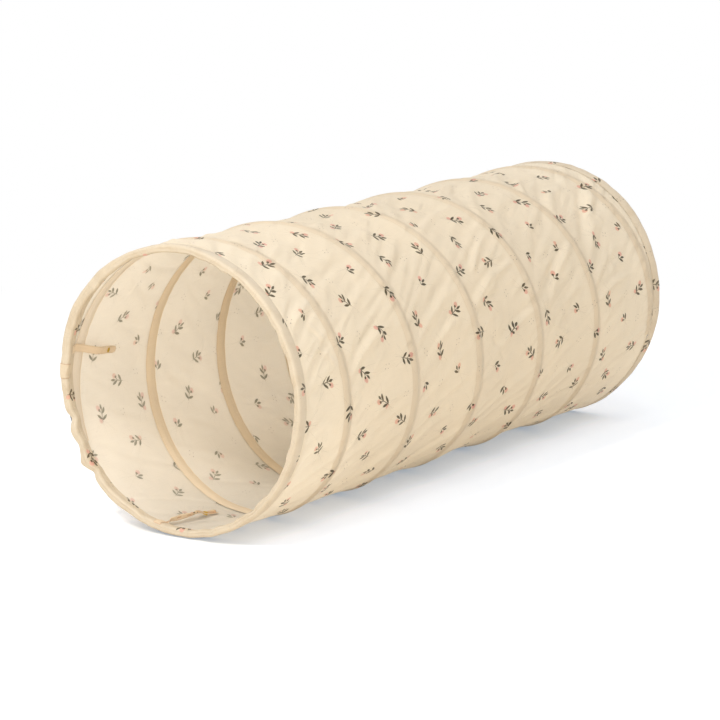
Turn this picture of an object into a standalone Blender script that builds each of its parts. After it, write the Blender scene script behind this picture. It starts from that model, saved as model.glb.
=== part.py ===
"""A pop-up play tunnel: a tube of printed cloth held open by one spiral of spring wire.

The tunnel lies along Y with its front opening towards -Y, on the plane Z = 0. Distances called
"along" are measured from the front end of the tunnel, and "step" counts the facets that the
spiral has passed since it left the front hem. Everything is in metres.
"""

import math

import bmesh
import bpy
import numpy as np
from mathutils import Matrix, Vector

# Driving sizes of the tunnel
LENGTH = 1.200
OUTER_RADIUS = 0.240  # to the middle of a facet, so it's half of the height
CLOTH = 0.0010
SAG = 0.0055  # how far the cloth dips between two turns of the spring
CLEAR = 0.0003  # between pieces that touch
SEAM_GAP = 0.0005  # between two panels over the wire

# Facets of the round shape, and the spiral counted in them
FACETS = 32
SPIRAL_STEPS = 180
START_FACET = 26
STEP_ANGLE = 2 * math.pi / FACETS
START_ANGLE = -math.pi / 2 + (START_FACET + 0.5) * STEP_ANGLE
CORNER_SHARE = 1 / math.cos(STEP_ANGLE / 2)  # a corner's radius, as a share of its facet's

# Hem: a soft roll round each end
HEM_WIDTH = 0.022
HEM_ROLL = 0.016  # how far the roll stands into the opening
HEM_LIP_DROP = 0.0085  # from the outside to the sewn edge of the roll
HEM_ARC_POINTS = 3
# as shares of the hem's width: how far its front is rounded, where the roll stands furthest
# into the opening, where the wire's ring lies and where the studs are
HEM_FRONT_ROUND_SHARE = 0.32
HEM_CREST_SHARE = 0.36
RING_SHARE = 0.39
STUD_SHARE = 0.68

# Spring wire and the sleeve that closes each end ring
WIRE = 0.0030
PAIR_SPACING = 0.0040  # between the two wires in a sleeve
SLEEVE_LENGTH = 0.020
SLEEVE_WALL = 0.0006
SLEEVE_BORE_CLEAR = 0.0002
SLEEVE_ROUND = 0.0009
SLEEVE_BORE_ROUND = 0.0006
HOLD_STEPS = 3  # how early the wire moves beside its own end

# Casing tape, which holds the wire against the panels
TAPE = 0.0008
TAPE_HALF_WIDTH = 0.0125
TAPE_HALF_FLAT = 0.0026

# Closing straps and their press studs
STRAP = 0.0012
STRAP_WIDTH = 0.013
STRAP_LENGTH = 0.118
STRAP_ARCH = 0.0096  # how far its middle bows away from the wall
STRAP_TIP_ROUND = 0.004
STRAP_SLANT = math.radians(11)
STRAP_FACETS = {"left": 23, "bottom": 31}
SNAP_SHARE = 0.77  # where the snap sits along the strap
CAP_RADIUS = 0.0045
CAP_HEIGHT = 0.0014
CAP_CROWN_RADIUS_SHARE = 0.6  # where the cap's crown turns down, of its radius
CAP_CROWN_DROP_SHARE = 0.15  # and how far below the top, of its height
CAP_RIM_SHARE = 0.3  # the height of the cap's rim
SHANK_RADIUS = 0.0015
SOCKET_RADIUS = 0.0042
SOCKET_HEIGHT = 0.0018
SOCKET_BORE = 0.0021
SOCKET_DEPTH = 0.0014
STUD_FLANGE_RADIUS = 0.0036
STUD_FLANGE = 0.0006
STUD_BALL_RADIUS = 0.0018
STUD_NECK_RADIUS = 0.0013
STUD_POST = 0.0015
STUD_NECK_SHARE = 0.3  # how high up the post its neck ends
STUD_BALL_SHARE = 0.65  # and where it's widest
STUD_BACK_RADIUS = 0.0040

# Bare patch on the inside of the front hem
PATCH_FACET = 24
PATCH_LENGTH = 0.026
PATCH = 0.0005

ROUND_STEPS = 16
BEVEL_STEPS = 3
STRAP_STEPS = 12
STRAP_CORNER_STEPS = 4
SHARP_ANGLE = math.radians(30)
MERGE = 0.00001  # points of a turned piece closer than this are one
CUT_OVERRUN = 0.004
PANEL_POINT_SHARES = (0, 0.25, 0.5, 0.75, 1)
TIP_WIDTH = 0.0010  # of a gusset where it runs out

# Worked out from the sizes above
HEM_FRONT_ROUND = HEM_FRONT_ROUND_SHARE * HEM_WIDTH
HEM_CREST = HEM_CREST_SHARE * HEM_WIDTH
RING_INSET = RING_SHARE * HEM_WIDTH
STUD_ALONG = STUD_SHARE * HEM_WIDTH
PITCH = (LENGTH - 2 * HEM_WIDTH) * FACETS / SPIRAL_STEPS
WIRE_RADIUS = OUTER_RADIUS - CLOTH - CLEAR - WIRE / 2
SLEEVE_HALF_DEPTH = WIRE / 2 + SLEEVE_BORE_CLEAR + SLEEVE_WALL
RING_RADIUS = OUTER_RADIUS - CLOTH - CLEAR - SLEEVE_HALF_DEPTH
LIP_RADIUS = OUTER_RADIUS - HEM_LIP_DROP
PANEL_COUNT = SPIRAL_STEPS // FACETS
LAST_PANEL_STEP = PANEL_COUNT * FACETS

COLORS = {
    "cloth": (0.90, 0.82, 0.69, 1),
    "tape": (0.76, 0.62, 0.44, 1),
    "patch": (0.88, 0.80, 0.68, 1),
    "steel": (0.55, 0.55, 0.57, 1),
    "brass": (0.80, 0.62, 0.25, 1),
}


def clear_scene():
    for thing in list(bpy.data.objects):
        bpy.data.objects.remove(thing, do_unlink=True)


def new_collection(name):
    collection = bpy.data.collections.new(name)
    bpy.context.scene.collection.children.link(collection)
    return collection


def material(name, color, roughness, metallic=0.0):
    """One sub-part's own material."""
    made = bpy.data.materials.new(name)
    made.use_nodes = True
    shader = made.node_tree.nodes["Principled BSDF"]
    shader.inputs["Base Color"].default_value = color
    shader.inputs["Roughness"].default_value = roughness
    shader.inputs["Metallic"].default_value = metallic
    made.diffuse_color = color
    return made


class Tunnel:
    """Where new parts and cutters are put, and the empties that carry the moving ones."""

    parts = None
    cutters = None
    carriers = {}


def add_carrier(name, location):
    """An empty on a joint's axis, or at the tunnel's front for what stays still."""
    empty = bpy.data.objects.new(name, None)
    empty.location = location
    Tunnel.parts.objects.link(empty)
    Tunnel.carriers[name] = empty
    return empty


def set_place(obj, place):
    obj.location = place.to_translation()
    obj.rotation_euler = place.to_euler()


def add_object(name, data, kind, carrier, place=None):
    """Link one part, placed in the world by a matrix and carried by an empty."""
    obj = bpy.data.objects.new(name, data)
    Tunnel.parts.objects.link(obj)
    roughness, metallic = (0.35, 1.0) if kind in ("steel", "brass") else (0.9, 0.0)
    data.materials.append(material(name, COLORS[kind], roughness, metallic))
    empty = Tunnel.carriers[carrier]
    obj.parent = empty
    place = place or Matrix.Translation(empty.location)
    set_place(obj, Matrix.Translation(-Vector(empty.location)) @ place)
    return obj


def add_cutter(name, data, place):
    obj = bpy.data.objects.new(name, data)
    Tunnel.cutters.objects.link(obj)
    obj.hide_render = True
    obj.display_type = "WIRE"
    set_place(obj, place)
    return obj


def cut(obj, cutter):
    modifier = obj.modifiers.new(cutter.name, "BOOLEAN")
    modifier.operation = "DIFFERENCE"
    modifier.solver = "EXACT"
    modifier.object = cutter


def shell(obj, thickness):
    """Give an open surface its cloth, on the side that its faces turn away from."""
    modifier = obj.modifiers.new("cloth", "SOLIDIFY")
    modifier.thickness = thickness
    modifier.offset = -1
    modifier.use_even_offset = True


def smooth(mesh):
    mesh.shade_smooth()
    mesh.set_sharp_from_angle(angle=SHARP_ANGLE)


def outline(name, points):
    """A mesh of a profile alone, ready to be turned round an axis."""
    mesh = bpy.data.meshes.new(name)
    edges = [(n, n + 1) for n in range(len(points) - 1)]
    mesh.from_pydata(points, edges, [])
    return mesh


def spin(obj, axis, steps):
    modifier = obj.modifiers.new("turn", "SCREW")
    modifier.axis = axis
    modifier.steps = steps
    modifier.render_steps = steps
    modifier.use_merge_vertices = True
    modifier.merge_threshold = MERGE


def grid(name, rows):
    """An open surface through rows of points, all of one length.

    With X to the right along a row, and the rows one above the other, it faces the reader.
    """
    mesh = bpy.data.meshes.new(name)
    wide = len(rows[0])
    points = [point for row in rows for point in row]
    faces = [
        (r * wide + c, r * wide + c + 1, (r + 1) * wide + c + 1, (r + 1) * wide + c)
        for r in range(len(rows) - 1)
        for c in range(wide - 1)
    ]
    mesh.from_pydata(points, [], faces)
    return mesh


def angle_at(step):
    """Seen from the front, the spiral goes round clockwise as it goes back."""
    return START_ANGLE - step * STEP_ANGLE


def facet_angle(facet):
    return -math.pi / 2 + facet * STEP_ANGLE


def at(angle, radius, along):
    """A point of the tunnel in the world."""
    x = radius * math.cos(angle)
    z = OUTER_RADIUS + radius * math.sin(angle)
    return Vector((x, along - LENGTH / 2, z))


def corner_at(step, radius, along, shift=0.0):
    """A corner of the faceted tunnel, where radius is that of its facets' middles."""
    return at(angle_at(step) - shift / OUTER_RADIUS, radius * CORNER_SHARE, along)


def spiral_along(step):
    return HEM_WIDTH + PITCH * step / FACETS


def cloth_radius(along, front, back):
    """The outside of the cloth, which dips between its two edges, more where they are far apart."""
    return OUTER_RADIUS - 4 * SAG * (along - front) * (back - along) / PITCH**2


def centre(along):
    """On the tunnel's axis."""
    return Vector((0, along - LENGTH / 2, OUTER_RADIUS))


# Hems

def quarter(start, end, middle):
    """Points of a quarter of an ellipse between two points round its middle, ends left out."""
    arms = [(point[0] - middle[0], point[1] - middle[1]) for point in (start, end)]
    made = []
    for n in range(1, HEM_ARC_POINTS):
        turn = math.pi / 2 * n / HEM_ARC_POINTS
        first, second = math.cos(turn), math.sin(turn)
        made.append(
            (
                middle[0] + first * arms[0][0] + second * arms[1][0],
                middle[1] + first * arms[0][1] + second * arms[1][1],
            )
        )
    return made


def hem_profile():
    """(along, radius) round the outside of the roll, from its outer edge to its sewn lip."""
    inner = OUTER_RADIUS - HEM_ROLL
    nose = OUTER_RADIUS - HEM_ROLL / 2
    outer_start = (HEM_FRONT_ROUND, OUTER_RADIUS)
    front = (0, nose)
    crest = (HEM_CREST, inner)
    points = [(HEM_WIDTH, OUTER_RADIUS), outer_start]
    points += quarter(outer_start, front, (HEM_FRONT_ROUND, nose))
    points += [front]
    points += quarter(front, crest, (HEM_CREST, nose))
    points += [crest]
    for n in range(1, HEM_ARC_POINTS + 1):
        share = n / HEM_ARC_POINTS
        rise = (1 - math.cos(math.pi * share)) / 2
        along = HEM_CREST + share * (HEM_WIDTH - HEM_CREST)
        points.append((along, inner + rise * (LIP_RADIUS - inner)))
    return points


def add_hem(name, carrier, back):
    """The roll of one end. The back one is the front one turned half way round."""
    mesh = outline(name, [(radius * CORNER_SHARE, along, 0) for along, radius in hem_profile()])
    turn = Matrix.Rotation(math.pi if back else 0, 4, "Z")
    twist = Matrix.Rotation(STEP_ANGLE / 2, 4, "Y")
    place = Matrix.Translation(centre(LENGTH if back else 0)) @ turn @ twist
    obj = add_object(name, mesh, "cloth", carrier, place)
    spin(obj, "Y", FACETS)
    shell(obj, CLOTH)
    return obj


# Spring wire

def wire_point(step):
    """(along, radius) of the wire, with its closed rings in the hems before and after."""
    if step > SPIRAL_STEPS / 2:
        along, radius = wire_point(SPIRAL_STEPS - step)
        return LENGTH - along, radius
    if step >= 0:
        return spiral_along(step), WIRE_RADIUS
    if step < -HOLD_STEPS:
        return RING_INSET, RING_RADIUS
    beside = RING_INSET + PAIR_SPACING
    radius = RING_RADIUS if step < -1 else (RING_RADIUS + WIRE_RADIUS) / 2
    return max(spiral_along(step), beside), radius


def wire_steps():
    """The wire's free end lies beside the wire where that leaves for the spiral."""
    before = FACETS + HOLD_STEPS
    return range(-before, SPIRAL_STEPS + before + 1)


def wire_corners():
    made = []
    for step in wire_steps():
        along, radius = wire_point(step)
        made.append(corner_at(step, radius, along))
    return made


def self_gap(points, thickness):
    """The least gap of a tube to itself, measured between points along it."""
    finer = 4
    run = []
    for a, b in zip(points, points[1:]):
        run += [a.lerp(b, n / finer) for n in range(finer)]
    places = np.array([tuple(p) for p in run])
    step = np.linalg.norm(np.diff(places, axis=0), axis=1)
    walked = np.concatenate([[0], np.cumsum(step)])
    least = np.inf
    for n, place in enumerate(places):
        far = walked - walked[n] > OUTER_RADIUS
        if far.any():
            least = min(least, np.linalg.norm(places[far] - place, axis=1).min())
    return least - thickness


def add_wire(carrier):
    """The whole spring as one tube: a ring in each hem and the spiral between them."""
    corners = wire_corners()
    origin = Vector(Tunnel.carriers[carrier].location)
    curve = bpy.data.curves.new("spring_wire", "CURVE")
    curve.dimensions = "3D"
    curve.bevel_depth = WIRE / 2
    curve.bevel_resolution = 1
    curve.use_fill_caps = True
    spline = curve.splines.new("POLY")
    spline.points.add(len(corners) - 1)
    for point, corner in zip(spline.points, corners):
        point.co = (*(corner - origin), 1)
    spline.use_smooth = True
    add_object("spring_wire", curve, "steel", carrier)
    print("spring wire, least gap to itself:", round(self_gap(corners, WIRE) * 1000, 2), "mm")


def box_mesh(name, length, width, height, rounding):
    """A box with its long edges, those along X, rounded."""
    mesh = bpy.data.meshes.new(name)
    made = bmesh.new()
    bmesh.ops.create_cube(made, size=1, matrix=Matrix.Diagonal((length, width, height, 1)))
    long_edges = [e for e in made.edges if abs(e.verts[0].co.x - e.verts[1].co.x) > length / 2]
    bmesh.ops.bevel(
        made,
        geom=long_edges,
        offset=rounding,
        segments=BEVEL_STEPS,
        affect="EDGES",
        profile=0.5,
    )
    made.to_mesh(mesh)
    made.free()
    return mesh


def add_sleeve(name, carrier, back):
    """A crimped sleeve round the wire's end and the wire beside it, in the middle of a facet."""
    step = -HOLD_STEPS + 0.5
    along = RING_INSET + PAIR_SPACING / 2
    if back:
        step, along = SPIRAL_STEPS - step, LENGTH - along
    angle = angle_at(step)
    # local X runs round the tunnel, Y along it and Z outwards
    frame = Matrix.Rotation(math.pi / 2 - angle, 4, "Y")
    place = Matrix.Translation(at(angle, RING_RADIUS, along)) @ frame
    bore = WIRE + 2 * SLEEVE_BORE_CLEAR
    mesh = box_mesh(
        name,
        SLEEVE_LENGTH,
        PAIR_SPACING + bore + 2 * SLEEVE_WALL,
        bore + 2 * SLEEVE_WALL,
        SLEEVE_ROUND,
    )
    obj = add_object(name, mesh, "steel", carrier, place)
    hole = box_mesh(
        name + "_bore",
        SLEEVE_LENGTH + 2 * CUT_OVERRUN,
        PAIR_SPACING + bore,
        bore,
        SLEEVE_BORE_ROUND,
    )
    cut(obj, add_cutter(name + "_bore", hole, place))


# Panels of cloth and the casing tapes

def panel_edges(step):
    """Front and back edge of the cloth behind the wire at this step of the spiral."""
    hem_front = HEM_WIDTH + CLEAR
    hem_back = LENGTH - HEM_WIDTH - CLEAR
    if step < 0:
        front = hem_front
    elif step == 0:
        front = hem_front + TIP_WIDTH + SEAM_GAP
    else:
        front = min(spiral_along(step) + SEAM_GAP / 2, hem_back - TIP_WIDTH)
    next_turn = step + FACETS
    if next_turn > SPIRAL_STEPS:
        back = hem_back
    elif next_turn == SPIRAL_STEPS:
        back = hem_back - TIP_WIDTH - SEAM_GAP
    else:
        back = max(spiral_along(next_turn) - SEAM_GAP / 2, hem_front + TIP_WIDTH)
    return front, back


def add_panel(name, carrier, first, last):
    """The cloth between one turn of the wire and the next, closed by a joint along the tunnel."""
    origin = Vector(Tunnel.carriers[carrier].location)
    rows = []
    for step in range(first, last + 1):
        front, back = panel_edges(step)
        shift = CLEAR / 2 if step == first else -CLEAR / 2 if step == last else 0
        row = []
        for share in PANEL_POINT_SHARES:
            along = front + share * (back - front)
            radius = cloth_radius(along, front, back)
            row.append(corner_at(step, radius, along, shift) - origin)
        rows.append(row)
    mesh = grid(name, rows[::-1])
    smooth(mesh)
    shell(add_object(name, mesh, "cloth", carrier), CLOTH)


def tape_profile():
    """(distance from the wire, radius) across the outside of a casing tape."""
    over_wire = WIRE_RADIUS - WIRE / 2 - CLEAR
    edge = cloth_radius(TAPE_HALF_WIDTH, 0, PITCH) - CLOTH - CLEAR
    half = [(TAPE_HALF_FLAT, over_wire), (TAPE_HALF_WIDTH, edge)]
    return [(-offset, radius) for offset, radius in reversed(half)] + half


def add_tape(name, carrier, first, last):
    """The tape that is sewn over the wire from inside, one turn of it."""
    origin = Vector(Tunnel.carriers[carrier].location)
    lowest, highest = HEM_WIDTH + CLEAR, LENGTH - HEM_WIDTH - CLEAR
    rows = []
    for step in range(first, last + 1):
        shift = CLEAR / 2 if step == first else -CLEAR / 2 if step == last else 0
        row = []
        for offset, radius in tape_profile():
            along = min(max(spiral_along(step) + offset, lowest), highest)
            row.append(corner_at(step, radius, along, shift) - origin)
        rows.append(row)
    mesh = grid(name, rows[::-1])
    smooth(mesh)
    shell(add_object(name, mesh, "tape", carrier), TAPE)


# Straps and press studs

def strap_frame(side):
    """Where a strap is sewn on: X along the strap, Y across it, Z into the tunnel."""
    angle = facet_angle(STRAP_FACETS[side])
    slant_room = STRAP_WIDTH / 2 * math.sin(STRAP_SLANT)
    along = HEM_WIDTH + CLEAR + STRAP / 2 + slant_room
    base = at(angle, LIP_RADIUS + CLOTH / 2, along)
    inward = Vector((-math.cos(angle), 0, -math.sin(angle)))
    straight = Vector((0, 1, 0))
    across = inward.cross(straight)
    forward = math.cos(STRAP_SLANT) * straight - math.sin(STRAP_SLANT) * across
    across = inward.cross(forward)
    frame = Matrix((forward, across, inward)).transposed().to_4x4()
    return Matrix.Translation(base) @ frame


def strap_lift(run):
    return STRAP_ARCH * math.sin(math.pi * run / STRAP_LENGTH) ** 2


def strap_slope(run):
    wave = math.pi / STRAP_LENGTH
    return STRAP_ARCH * wave * math.sin(2 * wave * run)


def snap_place(side):
    """On the strap's middle layer, with Z into the tunnel and square to the strap."""
    run = SNAP_SHARE * STRAP_LENGTH
    lean = Matrix.Rotation(-math.atan(strap_slope(run)), 4, "Y")
    spot = Matrix.Translation((run, 0, strap_lift(run)))
    return strap_frame(side) @ spot @ lean


def strap_stations():
    """(run, half width) along the strap: an even run, then its rounded tip."""
    half = STRAP_WIDTH / 2
    straight = STRAP_LENGTH - STRAP_TIP_ROUND
    stations = [(straight * n / STRAP_STEPS, half) for n in range(STRAP_STEPS + 1)]
    for n in range(1, STRAP_CORNER_STEPS + 1):
        turn = math.pi / 2 * n / STRAP_CORNER_STEPS
        run = straight + STRAP_TIP_ROUND * math.sin(turn)
        stations.append((run, half - STRAP_TIP_ROUND * (1 - math.cos(turn))))
    return stations


def drill(name, radius, place, depth):
    mesh = bpy.data.meshes.new(name)
    made = bmesh.new()
    bmesh.ops.create_cone(
        made,
        cap_ends=True,
        segments=ROUND_STEPS,
        radius1=radius,
        radius2=radius,
        depth=depth,
    )
    made.to_mesh(mesh)
    made.free()
    return add_cutter(name, mesh, place)


def add_strap(side, carrier):
    place = strap_frame(side)
    name = side + "_strap"
    rows = []
    for run, half in strap_stations():
        lift = strap_lift(run) + STRAP / 2
        rows.append([Vector((run, edge, lift)) for edge in (half, -half)])
    mesh = grid(name, rows)
    smooth(mesh)
    obj = add_object(name, mesh, "cloth", carrier, place)
    shell(obj, STRAP)
    depth = STRAP + 2 * CUT_OVERRUN
    cut(obj, drill(name + "_hole", SHANK_RADIUS + CLEAR, snap_place(side), depth))


def add_snap(side, carrier):
    """Cap, shank and socket of the press stud on a strap, with the socket towards the wall."""
    name = side + "_strap_snap"
    under = STRAP / 2 + CLEAR
    top = under + CAP_HEIGHT
    bottom = -under - SOCKET_HEIGHT
    profile = [
        (0, top),
        (CAP_CROWN_RADIUS_SHARE * CAP_RADIUS, top - CAP_CROWN_DROP_SHARE * CAP_HEIGHT),
        (CAP_RADIUS, under + CAP_RIM_SHARE * CAP_HEIGHT),
        (CAP_RADIUS, under),
        (SHANK_RADIUS, under),
        (SHANK_RADIUS, -under),
        (SOCKET_RADIUS, -under),
        (SOCKET_RADIUS, bottom),
        (SOCKET_BORE, bottom),
        (SOCKET_BORE, bottom + SOCKET_DEPTH),
        (0, bottom + SOCKET_DEPTH),
    ]
    mesh = outline(name, [(radius, 0, height) for radius, height in profile])
    obj = add_object(name, mesh, "brass", carrier, snap_place(side))
    spin(obj, "Z", ROUND_STEPS)


def stud_place(side):
    """On the outside of the front hem, with Z outwards."""
    angle = facet_angle(STRAP_FACETS[side])
    outward = Matrix.Rotation(math.pi / 2 - angle, 4, "Y")
    return Matrix.Translation(at(angle, OUTER_RADIUS, STUD_ALONG)) @ outward


def add_stud(side, carrier, hem):
    """The half of a press stud that is riveted through the front hem."""
    name = side + "_hem_stud"
    seat = CLEAR
    flange = seat + STUD_FLANGE
    back = -CLOTH - CLEAR
    profile = [
        (0, flange + STUD_POST),
        (STUD_NECK_RADIUS, flange + STUD_POST),
        (STUD_BALL_RADIUS, flange + STUD_BALL_SHARE * STUD_POST),
        (STUD_NECK_RADIUS, flange + STUD_NECK_SHARE * STUD_POST),
        (STUD_NECK_RADIUS, flange),
        (STUD_FLANGE_RADIUS, flange),
        (STUD_FLANGE_RADIUS, seat),
        (SHANK_RADIUS, seat),
        (SHANK_RADIUS, back),
        (STUD_BACK_RADIUS, back),
        (STUD_BACK_RADIUS, back - STUD_FLANGE),
        (0, back - STUD_FLANGE),
    ]
    mesh = outline(name, [(radius, 0, height) for radius, height in profile])
    obj = add_object(name, mesh, "brass", carrier, stud_place(side))
    spin(obj, "Z", ROUND_STEPS)
    depth = 2 * (CLOTH + CUT_OVERRUN)
    cut(hem, drill(name + "_hole", SHANK_RADIUS + CLEAR, stud_place(side), depth))


def add_patch(carrier):
    """A bare patch sewn on the roll, following its curve across one facet."""
    angle = facet_angle(PATCH_FACET)
    below_nose = OUTER_RADIUS - HEM_ROLL / 2 - PATCH
    curve = [point for point in hem_profile() if point[1] < below_nose]
    curve = curve[: 2 * HEM_ARC_POINTS - 2]
    inward = Vector((-math.cos(angle), 0, -math.sin(angle)))
    across = inward.cross(Vector((0, 1, 0)))
    rows = []
    for n, (along, radius) in enumerate(curve):
        before, after = curve[max(n - 1, 0)], curve[min(n + 1, len(curve) - 1)]
        slope = Vector((after[0] - before[0], after[1] - before[1])).normalized()
        # square to the roll, away from the cloth
        square = Vector((slope.y, -slope.x))
        spot = Vector((along, radius)) + (CLEAR + PATCH) * square
        middle = at(angle, spot.y, spot.x)
        rows.append([middle + across * PATCH_LENGTH * share for share in (-0.5, 0.5)])
    origin = Vector(Tunnel.carriers[carrier].location)
    rows = [[point - origin for point in row] for row in rows[::-1]]
    obj = add_object("hem_patch", grid("hem_patch", rows), "patch", carrier)
    shell(obj, PATCH)


def build():
    clear_scene()
    Tunnel.parts = new_collection("play_tunnel")
    Tunnel.cutters = new_collection("cutters")
    Tunnel.carriers = {}

    add_carrier("front_end", centre(0))
    for n in range(1, PANEL_COUNT + 1):
        add_carrier(f"coil_{n}", centre(spiral_along(n * FACETS)))
    add_carrier("rear_end", centre(LENGTH - HEM_WIDTH))

    front_hem = add_hem("front_hem", "front_end", back=False)
    add_hem("rear_hem", "rear_end", back=True)
    add_wire("front_end")
    add_sleeve("front_wire_sleeve", "front_end", back=False)
    add_sleeve("rear_wire_sleeve", "rear_end", back=True)

    add_panel("front_gusset", "front_end", -FACETS, 0)
    add_panel("rear_gusset", "rear_end", LAST_PANEL_STEP, SPIRAL_STEPS)
    for n in range(1, PANEL_COUNT + 1):
        first = (n - 1) * FACETS
        add_panel(f"cloth_panel_{n}", f"coil_{n}", first, first + FACETS)
        add_tape(f"casing_tape_{n}", f"coil_{n}", max(first, 1), first + FACETS)
    last_tape = f"casing_tape_{PANEL_COUNT + 1}"
    add_tape(last_tape, "rear_end", LAST_PANEL_STEP, SPIRAL_STEPS - 1)

    for side in STRAP_FACETS:
        carrier = side + "_strap_hinge"
        add_carrier(carrier, strap_frame(side).to_translation())
        add_strap(side, carrier)
        add_snap(side, carrier)
        add_stud(side, "front_end", front_hem)
    add_patch("front_end")


build()
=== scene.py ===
"""Looks of the pop-up play tunnel: printed cloth round a spiral of spring wire.

The tunnel lies along Y with its front opening towards -Y. "Along" is the distance from its front
end, and "step" counts the CAD facets that the spiral has passed since it left the front hem.
"""

import math

import bmesh
import bpy
import numpy as np
from mathutils import Matrix, Vector


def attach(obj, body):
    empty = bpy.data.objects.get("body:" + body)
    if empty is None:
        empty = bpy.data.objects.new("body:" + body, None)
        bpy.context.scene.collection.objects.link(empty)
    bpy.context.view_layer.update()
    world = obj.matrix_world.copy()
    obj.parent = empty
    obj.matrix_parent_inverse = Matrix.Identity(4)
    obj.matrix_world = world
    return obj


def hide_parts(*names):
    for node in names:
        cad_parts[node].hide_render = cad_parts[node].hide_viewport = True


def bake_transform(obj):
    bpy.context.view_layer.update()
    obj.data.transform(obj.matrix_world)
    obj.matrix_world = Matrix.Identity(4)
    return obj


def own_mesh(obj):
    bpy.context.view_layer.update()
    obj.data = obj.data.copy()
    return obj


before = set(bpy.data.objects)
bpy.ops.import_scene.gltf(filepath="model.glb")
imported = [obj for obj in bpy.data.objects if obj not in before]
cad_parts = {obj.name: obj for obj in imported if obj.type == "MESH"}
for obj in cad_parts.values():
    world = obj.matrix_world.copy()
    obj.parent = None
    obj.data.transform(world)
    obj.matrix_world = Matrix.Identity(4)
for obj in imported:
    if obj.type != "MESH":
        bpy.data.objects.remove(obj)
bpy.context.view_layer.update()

# Sizes repeated from the part's source, in metres. What ends in SEEN is the drawn piece's own.
LENGTH = 1.200
OUTER_RADIUS = 0.240
SAG = 0.0055  # of the cloth between two turns of the wire
FACETS = 32
SPIRAL_STEPS = 180
START_FACET = 26
STEP_ANGLE = 2 * math.pi / FACETS
START_ANGLE = -math.pi / 2 + (START_FACET + 0.5) * STEP_ANGLE
HEM_WIDTH = 0.022
HEM_ROLL_SEEN = 0.0132
ROLL_INSET = 0.0004  # of the roll from the outer radius
ROLL_MIDDLE = 0.0086  # from the end of the tunnel
ROLL_RADIUS = OUTER_RADIUS - ROLL_INSET - HEM_ROLL_SEEN / 2
HEM_STITCH = 0.0045  # from where the hem is sewn to the cloth
LIP_RADIUS = 0.2315
LIP_SEEN = 0.2292
CLOTH_BEHIND = 0.2362
WIRE = 0.0030
WIRE_RADIUS = 0.2372
RING_RADIUS = 0.2364
RING_INSET = 0.00858
PAIR_SPACING = 0.0040
HOLD_STEPS = 3
TAPE_HALF_WIDTH = 0.0125
TAPE_THICKNESS = 0.0005
STRAP = 0.0012
STRAP_SEEN = 0.0016
STRAP_WIDTH = 0.013
STRAP_LENGTH = 0.118
STRAP_ARCH = 0.0096
STRAP_TIP_ROUND = 0.004
STRAP_SLANT = math.radians(11)
STRAP_FACETS = {"left": 23, "bottom": 31}
SNAP_SHARE = 0.77  # of the strap's length, where its snap sits
STRAP_STITCH = 0.0045  # from the strap's middle
EDGE_STITCH = 0.0018  # from the edge of what is sewn on flat
PATCH_FACET = 24
PATCH_LENGTH = 0.026
PATCH_SHIFT = math.radians(2.3)
PATCH_THICKNESS = 0.0005
PITCH = (LENGTH - 2 * HEM_WIDTH) * FACETS / SPIRAL_STEPS
PANEL_COUNT = SPIRAL_STEPS // FACETS
LAST_PANEL_STEP = PANEL_COUNT * FACETS
AROUND = 2 * math.pi * OUTER_RADIUS

# How the cloth is drawn
TURN_STEPS = 14  # rows of faces for each facet of the CAD
ACROSS = 88  # faces from one turn of the wire to the next
TAPE_ACROSS = 26
WIRE_SIDES = 10
STRAP_STATIONS = 72
STRAP_SIDES = 24
CLOTH = 0.0004
RIDGE = 0.0014  # of the cloth over the wire
RIDGE_WIDTH = 0.0074
STITCH_ROW = 0.0108  # from the wire
STITCH_DIP = 0.0002
STITCH_DIP_WIDTH = 0.0018
# Points of the hem's section: over the cloth, round the roll, back to the lip, and out to the cloth
COVER_POINTS, ROLL_POINTS, LIP_POINTS, TURN_OUT_POINTS = 9, 24, 26, 7
# The points that the patch and the straps' sewn ends lie on
PATCH_POINTS = slice(12, 36)
STRAP_POINTS = {"left": slice(39, 59), "bottom": slice(24, 59)}

rng = np.random.default_rng(21)


# Places

def angle_at(step):
    return START_ANGLE - step * STEP_ANGLE


def facet_angle(facet):
    return -math.pi / 2 + facet * STEP_ANGLE


def at(angle, radius, along):
    """Points in the world, as one array with the coordinates last."""
    angle, radius, along = np.broadcast_arrays(angle, radius, along)
    x = radius * np.cos(angle)
    z = OUTER_RADIUS + radius * np.sin(angle)
    return np.stack([x, along - LENGTH / 2, z], axis=-1)


def spiral_along(step):
    return HEM_WIDTH + PITCH * step / FACETS


def panel_edges(step):
    """Front and back edge of the cloth that starts at the wire at this step."""
    front = np.clip(spiral_along(step), HEM_WIDTH, LENGTH - HEM_WIDTH)
    back = np.clip(spiral_along(step + FACETS), HEM_WIDTH, LENGTH - HEM_WIDTH)
    return front, back


# Shape of the cloth

def bump(distance, width):
    return np.exp(-((distance / width) ** 2))


def wrapped(angle):
    """An angle between -pi and pi."""
    return (angle + math.pi) % (2 * math.pi) - math.pi


def bump_at(angle, turn, width):
    """A bump at a place round the tunnel, which is given in degrees, as its width is."""
    return bump(wrapped(angle - math.radians(turn)), math.radians(width))


def squared(value, power):
    """A sine or cosine, changed for a section that is squarer than a circle."""
    return math.copysign(abs(value) ** power, value)


def pairs(first, second):
    """Two arrays, such as the two directions of flat cloth, as one array of pairs."""
    return np.stack(np.broadcast_arrays(first, second), axis=-1)


def walk_along(section):
    """The distance walked along a section's points, in one row."""
    lengths = np.linalg.norm(np.diff(section[:, :2], axis=0), axis=1)
    return np.concatenate([[0], np.cumsum(lengths)])[None, :]


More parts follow.
